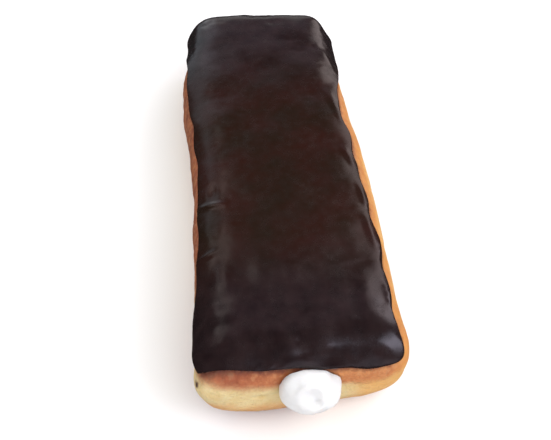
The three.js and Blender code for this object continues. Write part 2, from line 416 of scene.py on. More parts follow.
def hollow(place, half):
    """A rule for a round hollow at a place beside the swirl's middle, of a half width in mm."""
    def rule(point, normal):
        if point.y > FREE_FACE or normal.dot(to_viewer) < 0:
            return 0
        right, up = on_swirl(point)
        return bell(math.hypot(right - place[0], up - place[1]), half)

    return rule


push(cream, "groove", -GROOVE_DEPTH, groove)
push(cream, "hollow", -HOLLOW_DEPTH, hollow((0, 0), HOLLOW_HALF))
push(cream, "pit", -PIT_DEPTH, hollow(PIT_PLACE, PIT_HALF))
ripple(cream, "cream softness", *CREAM_CLOUDS)
smooth(cream, CREAM_ROUNDS)
print(f"cream: {triangles(cream)} triangles, {len(cream.vertex_groups)} dents")

# %% [markdown]
# ## The dough
#
# A risen bar has no straight edge anywhere. It could be cut from a cube by bevels, but a block of
# even quads that is shrunk on to the solid keeps every swell of it and still subdivides cleanly.
# The block starts as a grid on the table and is extruded up in steps. It is wrapped twice: first
# coarse, then, after a subdivision, fine, and smoothed, so that the solid's flat facets don't
# show.

# %% Wrap a block of quads round the dough
DOUGH_CELLS = (12, 32, 6)  # across, along and up
WRAP_LEVELS = (2, 0)  # of subdivision after each wrap
DOUGH_ROUNDS = 10  # of smoothing
SKIN = 0.25 * MM  # the crust stands this far out, so that it meets the icing

dough_low, dough_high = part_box("dough")
dough_middle = (dough_low + dough_high) / 2
dough_size = dough_high - dough_low
bpy.ops.object.select_all(action="DESELECT")
bpy.ops.mesh.primitive_grid_add(
    x_subdivisions=DOUGH_CELLS[0],
    y_subdivisions=DOUGH_CELLS[1],
    size=1,
    location=(dough_middle.x, dough_middle.y, dough_low.z),
)
dough = bpy.context.object
dough.name = "dough_bar"
dough.scale = (dough_size.x, dough_size.y, 1)
bpy.ops.object.transform_apply(location=True, rotation=True, scale=True)
edit(dough)
bpy.ops.mesh.select_all(action="SELECT")
rise = dough_size.z / DOUGH_CELLS[2]
for step in range(DOUGH_CELLS[2]):
    bpy.ops.mesh.extrude_region_move(TRANSFORM_OT_translate={"value": (0, 0, rise)})
bpy.ops.mesh.select_all(action="SELECT")
bpy.ops.mesh.normals_make_consistent(inside=False)
bpy.ops.object.mode_set(mode="OBJECT")
for levels in WRAP_LEVELS:
    wrap(dough, solids["dough"], wrap_mode="OUTSIDE_SURFACE", offset=SKIN)
    if levels:
        subdivide(dough, levels)
smooth(dough, DOUGH_ROUNDS)
subdivide(dough, 1)
print(f"dough: {triangles(dough)} triangles")

# %% [markdown]
# ## The pale band
#
# The band shows where the bar floated: above it the top browned, below it the underside did. It
# isn't level, because a bar tips as it swells. Its upper edge is given at a few places round the
# bar and eased between them, and the band is pressed in a little, because the dough there stayed
# soft.

# %% Draw the band round the bar
# Its upper edge, mm above the table, by degrees round the bar from the near end to the right.
BAND_EDGE = {-180: 19, -115: 18, -75: 19, -54: 24, -44: 26.3, -40: 27, -35: 25.9, -28: 23.7,
             -19: 22, 21: 17.7, 30: 16.6, 36: 17, 41: 18.6, 56: 26, 75: 27, 125: 26.5, 180: 19}
BAND_WIDTH = 9.5  # mm
BAND_WANDER = 0.8  # mm
BAND_WAVE = 9  # mm
BAND_DEPTH = 0.35  # mm
BAND_SOFTNESS = 0.7  # how far from its middle the band is pressed in, in band widths
LEVEL = 0.9  # faces with a steeper normal belong to the top or the underside


def band_edge(point):
    """Height in mm of the band's upper edge, beside a place on the bar."""
    across = (point.x - dough_middle.x / MM) / dough_size.x
    along = (point.y - dough_middle.y / MM) / dough_size.y
    angle = math.degrees(math.atan2(across, -along))
    stations = sorted(BAND_EDGE)
    after = next(station for station in stations[1:] if angle <= station)
    before = stations[stations.index(after) - 1]
    rise = BAND_EDGE[after] - BAND_EDGE[before]
    height = BAND_EDGE[before] + rise * ease(before, after, angle)
    return height + BAND_WANDER * noise.noise(point / BAND_WAVE)


def above_band(point):
    """How far a place lies above the band's upper edge, in mm."""
    return point.z - band_edge(point)


def below_band(point):
    """How far a place lies below the band's lower edge, in mm."""
    return band_edge(point) - BAND_WIDTH - point.z


def in_band(point, normal):
    """1 in the middle of the band, 0 outside it."""
    if abs(normal.z) > LEVEL:
        return 0
    return bell(above_band(point) + BAND_WIDTH / 2, BAND_WIDTH * BAND_SOFTNESS)


push(dough, "band", -BAND_DEPTH, in_band)
heights = BAND_EDGE.values()
print(f"band: {BAND_WIDTH} mm wide, its edge {min(heights)} to {max(heights)} mm up")

# %% [markdown]
# ## Crust relief
#
# Fried dough is lumpy at the scale of a thumb, and finely blistered and wrinkled where it
# browned. Both are clouds here, coarse for the lumps and fine for the blisters, and the fine ones
# are weighed so that the soft band stays smooth. The near left corner is tucked in under the bar,
# the two far corners are drawn in a little, and a crease runs along the band beside the cream.

# %% Roughen the crust
TUCK_PLACE = Vector((-30, -85, 6))  # mm
TUCK_REACH = 17  # mm
TUCK_DEPTH = 2.6  # mm
RISEN_CLOUDS = (14, 0.8)  # grain and height, mm
BLISTER_CLOUDS = (2.6, 0.5)
BROWN_ABOVE = (-1, 1.5)  # mm above the band, from pale to brown
BROWN_BELOW = (0, 4)  # mm below the band
# Place of a far corner, how much goes along, and how far it is drawn across the bar, mm.
FAR_CORNERS = {
    "far left": (Vector((-33, 72, 24)), 18, 0.9),
    "far right": (Vector((33, 62, 26)), 18, -1.4),
}
CREASE_FROM = Vector((-17.5, 18.7))  # x and height on the end face, mm
CREASE_TO = Vector((-8.5, 17.9))
CREASE_WAVE = 0.35  # mm
CREASE_TURN = 7  # radians of that wave along it
CREASE_FACING = -0.7  # faces that look less to the near end have no crease
CREASE_HALF = 0.9  # mm
CREASE_DEPTH = 0.8  # mm


def browned(point, normal):
    """1 on the browned crust, 0 in the pale band."""
    return max(ease(*BROWN_ABOVE, above_band(point)), ease(*BROWN_BELOW, below_band(point)))


def crease(point, normal):
    """How deep the crease on the end face is at a place, from 0 to 1."""
    if normal.y > CREASE_FACING:
        return 0
    run = CREASE_TO - CREASE_FROM
    offset = Vector((point.x, point.z)) - CREASE_FROM
    part = offset.dot(run) / run.length_squared
    if not 0 < part < 1:
        return 0
    wave = CREASE_WAVE * math.sin(part * CREASE_TURN)
    return math.sin(math.pi * part) * bell((offset - run * part).y - wave, CREASE_HALF)


def near(place, reach):
    """A rule that is 1 at a place and 0 from its reach on, both in mm."""
    return lambda point, normal: bell((point - place).length, reach)


def draw_corners(piece):
    """Draws in the two far corners of a piece."""
    for name, (place, reach, distance) in FAR_CORNERS.items():
        push(piece, name, distance, near(place, reach), "X")


push(dough, "tuck", -TUCK_DEPTH, near(TUCK_PLACE, TUCK_REACH))
draw_corners(dough)
ripple(dough, "risen lumps", *RISEN_CLOUDS)
ripple(dough, "crust blisters", *BLISTER_CLOUDS, weigh(dough, "browned", browned))
push(dough, "crease", -CREASE_DEPTH, crease)
print(f"crust: relief by {', '.join(group.name for group in dough.vertex_groups)}")

# %% [markdown]
# ## The hole in the dough
#
# The nozzle's hole fits the filling exactly. A Boolean modifier that takes a slightly fattened
# copy of the cream from the dough gives that fit everywhere and leaves a hair of free space, so
# that the two skins never touch. The relief may have pressed the underside through the table, so
# it is set back.

# %% Bore the hole for the filling
FREE_SPACE = 0.3 * MM

bore = cream.copy()
bore.data = cream.data.copy()
bpy.context.collection.objects.link(bore)
edit(bore)
bpy.ops.mesh.select_all(action="SELECT")
bpy.ops.transform.shrink_fatten(value=FREE_SPACE)
bpy.ops.object.mode_set(mode="OBJECT")
apply(dough, "BOOLEAN", object=bore, operation="DIFFERENCE", solver="MANIFOLD")
bpy.data.objects.remove(bore)
for vertex in dough.data.vertices:
    vertex.co.z = max(vertex.co.z, 0)
print(f"dough: {triangles(dough)} triangles with its hole")

# %% [markdown]
# ## The band's place for the colours
#
# The crust's colour will follow the band, but a material can't run a rule of ours. So the rule
# runs here, once for each vertex, and its result is stored in an attribute of the mesh that the
# material reads later. This comes after the Boolean, because the new faces need their values too.

# %% Keep the band for the colours
def keep(piece, name, rule):
    """Stores a number for each vertex, from its place in mm, for a material to read."""
    numbers = [rule(vertex.co / MM) for vertex in piece.data.vertices]
    piece.data.attributes.new(name, "FLOAT", "POINT").data.foreach_set("value", numbers)
    print(f"kept {name}: {min(numbers):.1f} to {max(numbers):.1f}")


keep(dough, "above_band", above_band)
keep(dough, "below_band", below_band)

# %% [markdown]
# ## The icing
#
# The icing is a coat, thick as a coin, that ran down by itself and set with a rounded lip. Its
# lip follows the solid exactly, so a copy of the solid is the honest start: its loose triangles
# are merged and paired to quads, the lip's edges get a crease, and a subdivision surface rounds
# it all.

# %% Round off a copy of the icing
MERGE_DISTANCE = 0.001 * MM
QUAD_BEND = math.radians(50)  # at most between two triangles that make a quad
QUAD_SKEW = math.radians(70)  # at most from a right angle
LIP_ANGLE = math.radians(35)
LIP_CREASE = 0.7

icing = bpy.data.objects.new("icing_coat", solids["icing"].data.copy())
bpy.context.collection.objects.link(icing)
edit(icing)
bpy.ops.mesh.customdata_custom_splitnormals_clear()
bpy.ops.mesh.select_all(action="SELECT")
bpy.ops.mesh.remove_doubles(threshold=MERGE_DISTANCE)
bpy.ops.mesh.tris_convert_to_quads(face_threshold=QUAD_BEND, shape_threshold=QUAD_SKEW)
bpy.ops.mesh.select_mode(type="EDGE")
bpy.ops.mesh.select_all(action="DESELECT")
bpy.ops.mesh.edges_select_sharp(sharpness=LIP_ANGLE)
bpy.ops.transform.edge_crease(value=LIP_CREASE)
bpy.ops.object.mode_set(mode="OBJECT")
subdivide(icing, 2)
print(f"icing: {triangles(icing)} triangles")

# %% [markdown]
# ## How the icing ran
#
# Icing runs on where the crust is low and stops where it is dry, so no two stretches of its edge
# are alike. Three places on the near edge are dragged like the dab. The stretch left of the cream
# is lifted, the one over the dab comes down to it, the right side is spread outwards, the far
# corners go in with the crust, and clouds along Z make the left part of the near edge ragged.
# Each stretch is a rule of its own, because a vertex group can then be moved along one axis and
# leaves the coat's top alone.

# %% Shape the edge of the coat
# Places on the near edge, how far they are dragged and how much goes along, mm.
COAT_SLIDES = [
    (Vector((-29.2, -85.4, 29.1)), Vector((-0.7, 1.3, 0.5)), 12),
    (Vector((19, -86, 28)), Vector((0, -0.3, -1)), 8),
    (Vector((29.5, -81, 26.5)), Vector((0.5, -0.6, -0.6)), 8),
]
NEAR_FRONT = (-79, -83)  # y, mm, from the top to the near end
NEAR_LOW = (33, 29.5)  # height, mm, from the top to the edge
RAGGED_CLOUDS = (4, 1.5)  # grain and height, mm
RAGGED_FROM = (-2, -12)  # x, mm, from the smooth right to the left
LEFT_START = (-3, -20)  # x, mm, from the cream to the left
LEFT_CORNER = (-31.5, -27)  # x, mm, from the corner to the right
LEFT_RISE = 1.9  # mm
DAB_STRETCH = (2, 13)  # x of the middle and half width, mm
DAB_DROP = 1.2  # mm
RIGHT_SIDE = (20, 27)  # x, mm, from the top to the edge
RIGHT_START = (-15, -42)  # y, mm, towards the near end
RIGHT_STOP = (-78, -64)  # y, mm, away from the near end
RIGHT_SPREAD = 1.5  # mm


def near_lip(point, normal):
    """1 at the coat's edge on the near end, 0 above it."""
    return ease(*NEAR_FRONT, point.y) * ease(*NEAR_LOW, point.z)


def ragged(point, normal):
    """1 at the ragged left part of the near edge, 0 above it and on the right."""
    return near_lip(point, normal) * ease(*RAGGED_FROM, point.x)


def left_lip(point, normal):
    """1 at the edge on the near end between the cream and the left corner, else 0."""
    return near_lip(point, normal) * ease(*LEFT_START, point.x) * ease(*LEFT_CORNER, point.x)


def dab_lip(point, normal):
    """1 at the edge over the middle of the dab, 0 to both sides of it."""
    middle, half = DAB_STRETCH
    return near_lip(point, normal) * bell(point.x - middle, half)


def right_lip(point, normal):
    """1 at the coat's right edge in the near half, 0 further in or further back."""
    return ease(*RIGHT_SIDE, point.x) * ease(*RIGHT_START, point.y) * ease(*RIGHT_STOP, point.y)


for place, drag, reach in COAT_SLIDES:
    slide(icing, place, drag, reach)
push(icing, "left lip", LEFT_RISE, left_lip, "Z")
push(icing, "dab lip", -DAB_DROP, dab_lip, "Z")
push(icing, "right lip", RIGHT_SPREAD, right_lip, "X")
draw_corners(icing)
ripple(icing, "ragged edge", *RAGGED_CLOUDS, weigh(icing, "ragged", ragged), "Z")
print(f"coat: edge moved by {', '.join(group.name for group in icing.vertex_groups)}")

# %% [markdown]
# ## Lumps and folds in the icing
#
# The top of a dipped coat is never flat: it waves slightly, lumps and dents show over the dough,
# and at the sides it folds where it slowed down. Waves are clouds. Lumps and folds have their own
# places, so they are lists here, and one rule sums up how high each of them lifts a vertex.

# %% Press lumps and folds into the coat
# Soft lumps and dents: x and y of the middle, half sizes across and along, and height, all mm.
LUMPS = [
    (-22, -57, 4.5, 9, 0.42),
    (-10, -55, 5, 10, 0.42),
    (-1.5, -57, 4, 8, 0.3),
    (-23, -69, 7, 4.5, 0.36),
    (20.5, -64, 5, 12, 0.35),
    (24, 82, 8, 9, 0.9),
    (-23.3, -20, 2.8, 6, -0.3),
    (-23.5, -36, 3.4, 9, -0.15),
    (-11.5, -81, 7, 4, -0.25),
    (0, -80, 7, 4.5, -0.3),
]
# Folds and lobes: x and y of one end, x and y of the other, half width and height, all mm.
FOLDS = [
    (-28.5, -25, -20, -26, 1.6, 0.55),
    (-30, -47.5, -23, -45.5, 1.6, 0.5),
    (11, -53.2, 21.4, -51.3, 1.8, 0.16),
    (22.4, 58, 26.8, 44.5, 2.4, 0.5),
    (22.2, 28.5, 25.6, 11, 2.4, 0.5),
    (23.2, -2.5, 26.2, -11.5, 2.2, 0.45),
    (26, -20, 26.8, -29.5, 2, 0.4),
    (25.6, -33.5, 26.9, -47.5, 2.2, 0.45),
    (27, -60.5, 27.5, -68.5, 2, 0.4),
]
FOLD_END = 0.1  # share of a half wave that a fold lacks at each end
OUTSIDE = 0.15  # faces with a flatter normal belong to the underside or the lip
WAVE_CLOUDS = (26, 0.9)  # grain and height, mm
RIPPLE_CLOUDS = (8, 0.22)
COAT_ROUNDS = 2  # of smoothing


def coat_height(point):
    """How far the coat stands out or in at a place, in mm."""
    total = 0
    for x, y, across, along, height in LUMPS:
        total += height * bell(math.hypot((point.x - x) / across, (point.y - y) / along), 1)
    for x, y, end_x, end_y, half, height in FOLDS:
        run = Vector((end_x - x, end_y - y))
        offset = Vector((point.x - x, point.y - y))
        part = min(max(offset.dot(run) / run.length_squared, 0), 1)
        rise = math.sin(math.pi * (FOLD_END + (1 - 2 * FOLD_END) * part))
        total += height * rise * bell((offset - run * part).length, half)
    return total


def raised(sign):
    """A rule that weighs what stands out, or in for a sign of -1, where the coat faces up."""
    def rule(point, normal):
        return max(sign * coat_height(point), 0) if normal.z > OUTSIDE else 0

    return rule


ripple(icing, "poured waves", *WAVE_CLOUDS)
ripple(icing, "poured ripples", *RIPPLE_CLOUDS)
push(icing, "lumps", 1, raised(1))
push(icing, "dents", -1, raised(-1))
smooth(icing, COAT_ROUNDS)
print(f"coat: {len(LUMPS)} lumps and dents, {len(FOLDS)} folds")

# %% [markdown]
# ## The lip of the icing
#
# Chocolate wets the crust, so its edge thins out to a film instead of standing off like a rolled
# hem. How far each vertex lies over the crust is measured on the crust's own faces. A Shrinkwrap
# modifier then draws the lip and the underside just into the crust, weighed by that distance, and
# the distance that is left is kept for the colour, because a thin film of chocolate is redder.

# %% Draw the lip into the crust
LIP_FROM = 0.5  # mm over the crust, where the coat is drawn down fully
LIP_TO = 1.6  # mm over the crust, from where it is left alone
LIP_SUNK = 0.15 * MM
FACING = (0.1, -0.4)  # how much a face looks at the crust, from not at all to enough

crust = BVHTree.FromObject(dough, bpy.context.evaluated_depsgraph_get())


def crust_under(point):
    """The normal of the crust under a place, and how far the place lies over it, in mm."""
    place, normal = crust.find_nearest(point * MM)[:2]
    return normal, (point - place / MM).dot(normal)


def over_crust(point):
    """How far a place lies over the crust, in mm."""
    return crust_under(point)[1]


def lip(point, normal):
    """1 on the lip and on all that faces the crust, 0 on the outside of the thick coat."""
    outward, height = crust_under(point)
    return max(1 - ease(LIP_FROM, LIP_TO, height), ease(*FACING, normal.dot(outward)))


lip_group = weigh(icing, "lip", lip)
wrap(icing, dough, wrap_mode="ABOVE_SURFACE", offset=-LIP_SUNK, vertex_group=lip_group)
keep(icing, "film", over_crust)

# %% [markdown]
# ## Smears on the crust
#
# The crust is darker brown right beside the icing, and at the near left corner a thin film was
# wiped further down and left one drop. All of this is colour without thickness, so it needs only
# its place. The distance from a place on the crust to the coat says how far it is from the
# icing's edge.

# %% Keep how far the crust lies from the icing
SMEAR_PLACE = Vector((-25, -87, 29))  # mm
SMEAR_REACH = 10  # mm
SMEAR_EDGE = (5, 1)  # mm from the icing, from none to full
SMEAR_SHARE = 0.4
DROP_PLACE = Vector((-32, -84.9, 25.4))  # mm
DROP_HALF = Vector((2, 2, 2.8))  # mm
DROP_SHARE = 0.9

coat = BVHTree.FromObject(icing, bpy.context.evaluated_depsgraph_get())


def from_icing(point):
    """How far a place lies from the icing, in mm."""
    return coat.find_nearest(point * MM)[3] / MM


def smeared(point):
    """The drop's share in the drop, less in the film beside the icing at the near left corner."""
    beside = ease(*SMEAR_EDGE, from_icing(point))
    film = bell((point - SMEAR_PLACE).length, SMEAR_REACH) * beside
    offset = point - DROP_PLACE
    parts = [offset[axis] / DROP_HALF[axis] for axis in range(3)]
    return max(SMEAR_SHARE * film, DROP_SHARE * bell(math.hypot(*parts), 1))


keep(dough, "from_icing", from_icing)
keep(dough, "smear", smeared)

# %% [markdown]
# ## Effects that the finishes share
#
# Three finishes cover the doughnut: browned crust, set chocolate and cream. They share two
# effects, blotches of tone and a fine grain with pits, so each of those is a node group that
# every material sets to its own size. Both read object coordinates, in metres, so that the
# patterns keep their real size and stay put from every side.

# %% Build the shared node groups
def put(tree, kind, inputs=None, **settings):
    """Adds a node. An input that is a socket is linked, and any other value is set."""
    made = tree.nodes.new(kind)
    for key, value in settings.items():
        setattr(made, key, value)
    for key, value in (inputs or {}).items():
        if isinstance(value, bpy.types.NodeSocket):
            tree.links.new(value, made.inputs[key])
        else:
            made.inputs[key].default_value = value
    return made


def math_node(tree, operation, *values, clamp=False):
    """The result of a Math node for sockets or numbers."""
    inputs = dict(enumerate(values))
    made = put(tree, "ShaderNodeMath", inputs, operation=operation, use_clamp=clamp)
    return made.outputs[0]


def new_group(name, inputs, output):
    """A node group with number inputs and one number output."""
    group = bpy.data.node_groups.new(name, "ShaderNodeTree")
    for label, value in inputs.items():
        socket = group.interface.new_socket(label, in_out="INPUT", socket_type="NodeSocketFloat")
        socket.default_value = value
    group.interface.new_socket(output, in_out="OUTPUT", socket_type="NodeSocketFloat")
    given = group.nodes.new("NodeGroupInput").outputs
    return group, given, group.nodes.new("NodeGroupOutput").inputs


def blotch_group():
    """Soft blotches of a size in mm, from 0 to 1, as sharp as they are told."""
    group, given, result = new_group("blotches", {"Size": 5, "Sharpness": 2}, "Mask")
    place = put(group, "ShaderNodeTexCoord").outputs["Object"]
    scale = math_node(group, "DIVIDE", 1 / MM, given["Size"])
    cloud = put(group, "ShaderNodeTexNoise", {"Vector": place, "Scale": scale, "Detail": 4})
    middle = math_node(group, "SUBTRACT", cloud.outputs[0], 0.5)
    sharp = math_node(group, "MULTIPLY_ADD", middle, given["Sharpness"], 0.5, clamp=True)
    group.links.new(sharp, result["Mask"])
    return group


def grain_group():
    """A fine uneven height of a size in mm, with pits as large as the grain."""
    group, given, result = new_group("grain", {"Size": 1, "Pits": 0.5}, "Height")
    place = put(group, "ShaderNodeTexCoord").outputs["Object"]
    scale = math_node(group, "DIVIDE", 1 / MM, given["Size"])
    cloud = put(group, "ShaderNodeTexNoise", {"Vector": place, "Scale": scale, "Detail": 5})
    cells = put(group, "ShaderNodeTexVoronoi", {"Vector": place, "Scale": scale},
                feature="SMOOTH_F1")
    deep = cells.outputs["Distance"]
    pits = math_node(group, "MULTIPLY_ADD", deep, given["Pits"], cloud.outputs[0])
    group.links.new(pits, result["Height"])
    return group


blotches = blotch_group()
grain = grain_group()
for group in (blotches, grain):
    print(f"node group {group.name}: {len(group.nodes)} nodes")

# %% [markdown]
# ## The cream's finish
#
# Whipped cream is white with hardly any tint, full of tiny bubbles, and soft because light passes
# through it. White without any change in tone would burn out to a flat spot, so two close whites
# are mixed in blotches and the bubbles are a very fine bump.

# %% Finish the cream
WHIPPED = ((0.77, 0.765, 0.76), (0.72, 0.71, 0.70))
CREAM_ROUGHNESS = (0.4, 0.55)
CREAM_LIGHT = (0.15, 3, 2.5, 2)  # share that passes in, and how far its red, green and blue go, mm
BUBBLE_HEIGHT = 0.03  # mm


def new_material(name):
    """A material with its node tree and its Principled shader."""
    material = bpy.data.materials.new(name)
    material.use_nodes = True
    return material, material.node_tree, material.node_tree.nodes["Principled BSDF"]


def use(tree, group, **inputs):
    """Places a shared group in a material with its own values, and gives its output."""
    return put(tree, "ShaderNodeGroup", inputs, node_tree=group).outputs[0]


def mix(tree, factor, *colours):
    """A colour between two others, by a mask."""
    first, second = (
        colour if isinstance(colour, bpy.types.NodeSocket) else (*colour, 1) for colour in colours
    )
    made = put(tree, "ShaderNodeMix", {0: factor, 6: first, 7: second}, data_type="RGBA")
    return made.outputs[2]


def ramp(tree, value, start, end, bottom=0, top=1):
    """Runs a value from one range into another, smoothly."""
    made = put(tree, "ShaderNodeMapRange", {0: value, 1: start, 2: end, 3: bottom, 4: top},
               interpolation_type="SMOOTHSTEP")
    return made.outputs[0]


def bump(tree, shader, height, distance):
    """Turns a height into a bump of a distance in mm on the shader's normal."""
    made = put(tree, "ShaderNodeBump", {"Height": height, "Distance": distance * MM, "Strength": 1})
    tree.links.new(made.outputs["Normal"], shader.inputs["Normal"])


def let_light_in(shader, weight, red, green, blue):
    """Lets a share of the light pass through the surface, as far as these colours go, in mm."""
    shader.inputs["Subsurface Weight"].default_value = weight
    shader.inputs["Subsurface Radius"].default_value = (red * MM, green * MM, blue * MM)
    shader.inputs["Subsurface Scale"].default_value = 1


def dress(piece, material):
    """Gives a piece its finish and smooth shading."""
    piece.data.materials.clear()
    piece.data.materials.append(material)
    pick(piece)
    bpy.ops.object.shade_smooth()
    print(f"finish {material.name}: {len(material.node_tree.nodes)} nodes")


def cream_finish():
    """Whipped cream, white and soft."""
    material, tree, shader = new_material("whipped cream")
    patches = use(tree, blotches, Size=4, Sharpness=1.6)
    tree.links.new(mix(tree, patches, *WHIPPED), shader.inputs["Base Color"])
    tree.links.new(ramp(tree, patches, 0, 1, *CREAM_ROUGHNESS), shader.inputs["Roughness"])
    let_light_in(shader, *CREAM_LIGHT)
    bump(tree, shader, use(tree, grain, Size=0.6, Pits=0.2), BUBBLE_HEIGHT)
    return material


dress(cream, cream_finish())

# %% [markdown]
# ## The icing's finish
#
# Set chocolate is nearly black and gets almost all of its look from what it mirrors. Its own
# colour is redder along the middle and red-brown where it is a thin film, and at both ends a
# greyer, purplish tone is painted in as painted reflection. A mirror-like coat would look wet, so
# the roughness wanders a little, and a very low grain breaks up the sheen.

# %% Finish the icing
MIDDLE = ((0.0150, 0.0074, 0.0038), (0.0240, 0.0066, 0.0042))
# The ends' greyer, purplish tone is painted reflection of cool light.
PAINTED_SHEEN_ENDS = ((0.0100, 0.0046, 0.0052), (0.0195, 0.0100, 0.0104))
FILM = (0.10, 0.028, 0.016)
FILM_EDGE = (0.1, 0.9)  # mm over the crust, from film to coat
NEAR_PAINTED_SHEEN = (-38, -68)  # y, mm
FAR_PAINTED_SHEEN = (15, 70)
ICING_ROUGHNESS = (0.18, 0.3)
SHEEN_HEIGHT = 0.008  # mm


def place_along(tree, axis, *edges):
    """One mask for each edge, from 0 to 1 between two places in mm along an axis."""
    place = put(tree, "ShaderNodeTexCoord").outputs["Object"]
    along = put(tree, "ShaderNodeSeparateXYZ", {0: place}).outputs[axis]
    return [ramp(tree, along, start * MM, end * MM) for start, end in edges]


def icing_finish():
    """Set chocolate, smooth with a soft sheen, redder along the middle, with a grey painted reflection
    at the ends.
    """
    material, tree, shader = new_material("chocolate icing")
    patches = use(tree, blotches, Size=14, Sharpness=3)
    mottles = use(tree, blotches, Size=5, Sharpness=2.5)
    streaks = use(tree, blotches, Size=3, Sharpness=2)
    film = put(tree, "ShaderNodeAttribute", attribute_name="film").outputs["Fac"]
    # Painted reflection: both ends of the coat get the greyer tone.
    ends = math_node(tree, "MAXIMUM", *place_along(tree, "Y", NEAR_PAINTED_SHEEN, FAR_PAINTED_SHEEN))
    thick = mix(tree, ends, mix(tree, patches, *MIDDLE), mix(tree, mottles, *PAINTED_SHEEN_ENDS))
    thin = ramp(tree, film, *FILM_EDGE, 1, 0)
    tree.links.new(mix(tree, thin, thick, FILM), shader.inputs["Base Color"])
    tree.links.new(ramp(tree, streaks, 0, 1, *ICING_ROUGHNESS), shader.inputs["Roughness"])
    bump(tree, shader, use(tree, grain, Size=1.2, Pits=0.3), SHEEN_HEIGHT)
    return material


dress(icing, icing_finish())

# %% [markdown]
# ## The crust's finish
#
# The crust goes from a creamy yellow in the band to red-brown above and orange-brown below, and
# more golden on the right. The brown is darker towards the left, partly as its own tone and partly
# as painted shade, and the left side of the bar is painted darker as painted shade. One brown with
# noise would look like leather, so the colours are mixed step by step by the attributes kept above,
# and every edge is broken up by flecks. A little light passes through dough, and a bump gives it
# pores.

# %% Finish the crust
# Each pair is the lighter and the darker tone of a blotch.
PALE_LEFT = ((0.70, 0.56, 0.295), (0.64, 0.465, 0.205))
PALE_RIGHT = ((0.75, 0.43, 0.152), (0.68, 0.36, 0.104))
# The left brown is darker partly as its own tone and partly as painted shade.
BROWN_LEFT = ((0.455, 0.138, 0.054), (0.28, 0.064, 0.023))
BROWN_RIGHT = ((0.60, 0.24, 0.08), (0.415, 0.128, 0.04))
# Painted shade: the left side of the bar is coloured darker as if turned away from the light.
PAINTED_SHADE_LEFT = ((0.36, 0.115, 0.045), (0.22, 0.058, 0.023))
GOLDEN = ((0.62, 0.275, 0.068), (0.52, 0.205, 0.05))
ORANGE = ((0.72, 0.44, 0.19), (0.62, 0.31, 0.115))
UNDERSIDE = ((0.42, 0.15, 0.05), (0.34, 0.105, 0.036))
FLECK = (0.62, 0.29, 0.12)
# Darker crust right beside the icing.
DARK_BESIDE_ICING = (0.12, 0.032, 0.022)
SMEAR = (0.085, 0.03, 0.024)
# Where one tone passes into the next across the bar, x in mm.
PAINTED_SHADE_EDGE = (-28, -31.5)
RIGHT_EDGE = (-24, 12)
PALE_EDGE = (11, 20)
GOLDEN_EDGE = (24, 31)
# The same up and down the bar, mm above the band for brown and below it for the others.
BROWN_EDGE = (-1.4, 3)
ORANGE_EDGE = (-3, 2.5)
UNDERSIDE_EDGE = (4, 10)
# Where the crust darkens beside the icing, mm from the icing, and where the smear's value stains it.
DARK_BESIDE_ICING_EDGE = (0.3, 3)
SMEARED_EDGE = (0.3, 1.1)
DARK_BESIDE_ICING_SHARE = 0.85
# How far flecks move these edges, and where they show as spots.
BROWN_FLECKS = 0.9
DARK_BESIDE_ICING_FLECKS = 1.2
SMEARED_FLECKS = 0.5
FLECK_EDGE = (0.45, 1)
FLECK_SHARE = 0.5
CRUST_ROUGHNESS = (0.42, 0.6)
CRUST_LIGHT = (0.15, 2, 1, 0.5)  # as for the cream
PORE_HEIGHT = 0.4  # mm


def crust_finish():
    """Browned dough with a pale band, darker and smeared beside the icing."""
    material, tree, shader = new_material("fried crust")
    above, below, distance, smear = (
        put(tree, "ShaderNodeAttribute", attribute_name=name).outputs["Fac"]
        for name in ("above_band", "below_band", "from_icing", "smear")
    )
    patches = use(tree, blotches, Size=4.5, Sharpness=2.8)
    flecks = use(tree, blotches, Size=1.8, Sharpness=2.2)
    edges = (PAINTED_SHADE_EDGE, RIGHT_EDGE, PALE_EDGE, GOLDEN_EDGE)
    painted_shade, right, right_of_dab, golden = place_along(tree, "X", *edges)

    def blotchy(pair):
        return mix(tree, patches, *pair)

    def flecked(value, height):
        return math_node(tree, "MULTIPLY_ADD", flecks, height, value)

    # The brown turns darker towards the left, partly as painted shade.
    brown = mix(tree, right, blotchy(BROWN_LEFT), blotchy(BROWN_RIGHT))
    # Painted shade: the left side of the bar gets a darker brown.
    brown = mix(tree, painted_shade, brown, blotchy(PAINTED_SHADE_LEFT))
    brown = mix(tree, golden, brown, blotchy(GOLDEN))
    brown = mix(tree, ramp(tree, flecks, *FLECK_EDGE, 0, FLECK_SHARE), brown, FLECK)
    pale = mix(tree, right_of_dab, blotchy(PALE_LEFT), blotchy(PALE_RIGHT))
    lower = mix(tree, ramp(tree, below, *UNDERSIDE_EDGE), blotchy(ORANGE), blotchy(UNDERSIDE))
    side = mix(tree, ramp(tree, below, *ORANGE_EDGE), pale, lower)
    fried = mix(tree, ramp(tree, flecked(above, BROWN_FLECKS), *BROWN_EDGE), side, brown)
    # The crust is made darker right beside the icing.
    dark_beside_icing = ramp(tree, flecked(distance, DARK_BESIDE_ICING_FLECKS), *DARK_BESIDE_ICING_EDGE, DARK_BESIDE_ICING_SHARE, 0)
    fried = mix(tree, dark_beside_icing, fried, DARK_BESIDE_ICING)
    fried = mix(tree, ramp(tree, flecked(smear, SMEARED_FLECKS), *SMEARED_EDGE), fried, SMEAR)
    tree.links.new(fried, shader.inputs["Base Color"])
    tree.links.new(ramp(tree, patches, 0, 1, *CRUST_ROUGHNESS), shader.inputs["Roughness"])
    let_light_in(shader, *CRUST_LIGHT)
    bump(tree, shader, use(tree, grain, Size=1.1, Pits=0.6), PORE_HEIGHT)
    return material


dress(dough, crust_finish())

# %% [markdown]
# ## The floor
#
# The doughnut lies on a plain pale sheet. It is large, so that its end is out of sight, and the
# dark icing doesn't mirror it: a white table under a glossy black coat would wash out the whole
# lip.

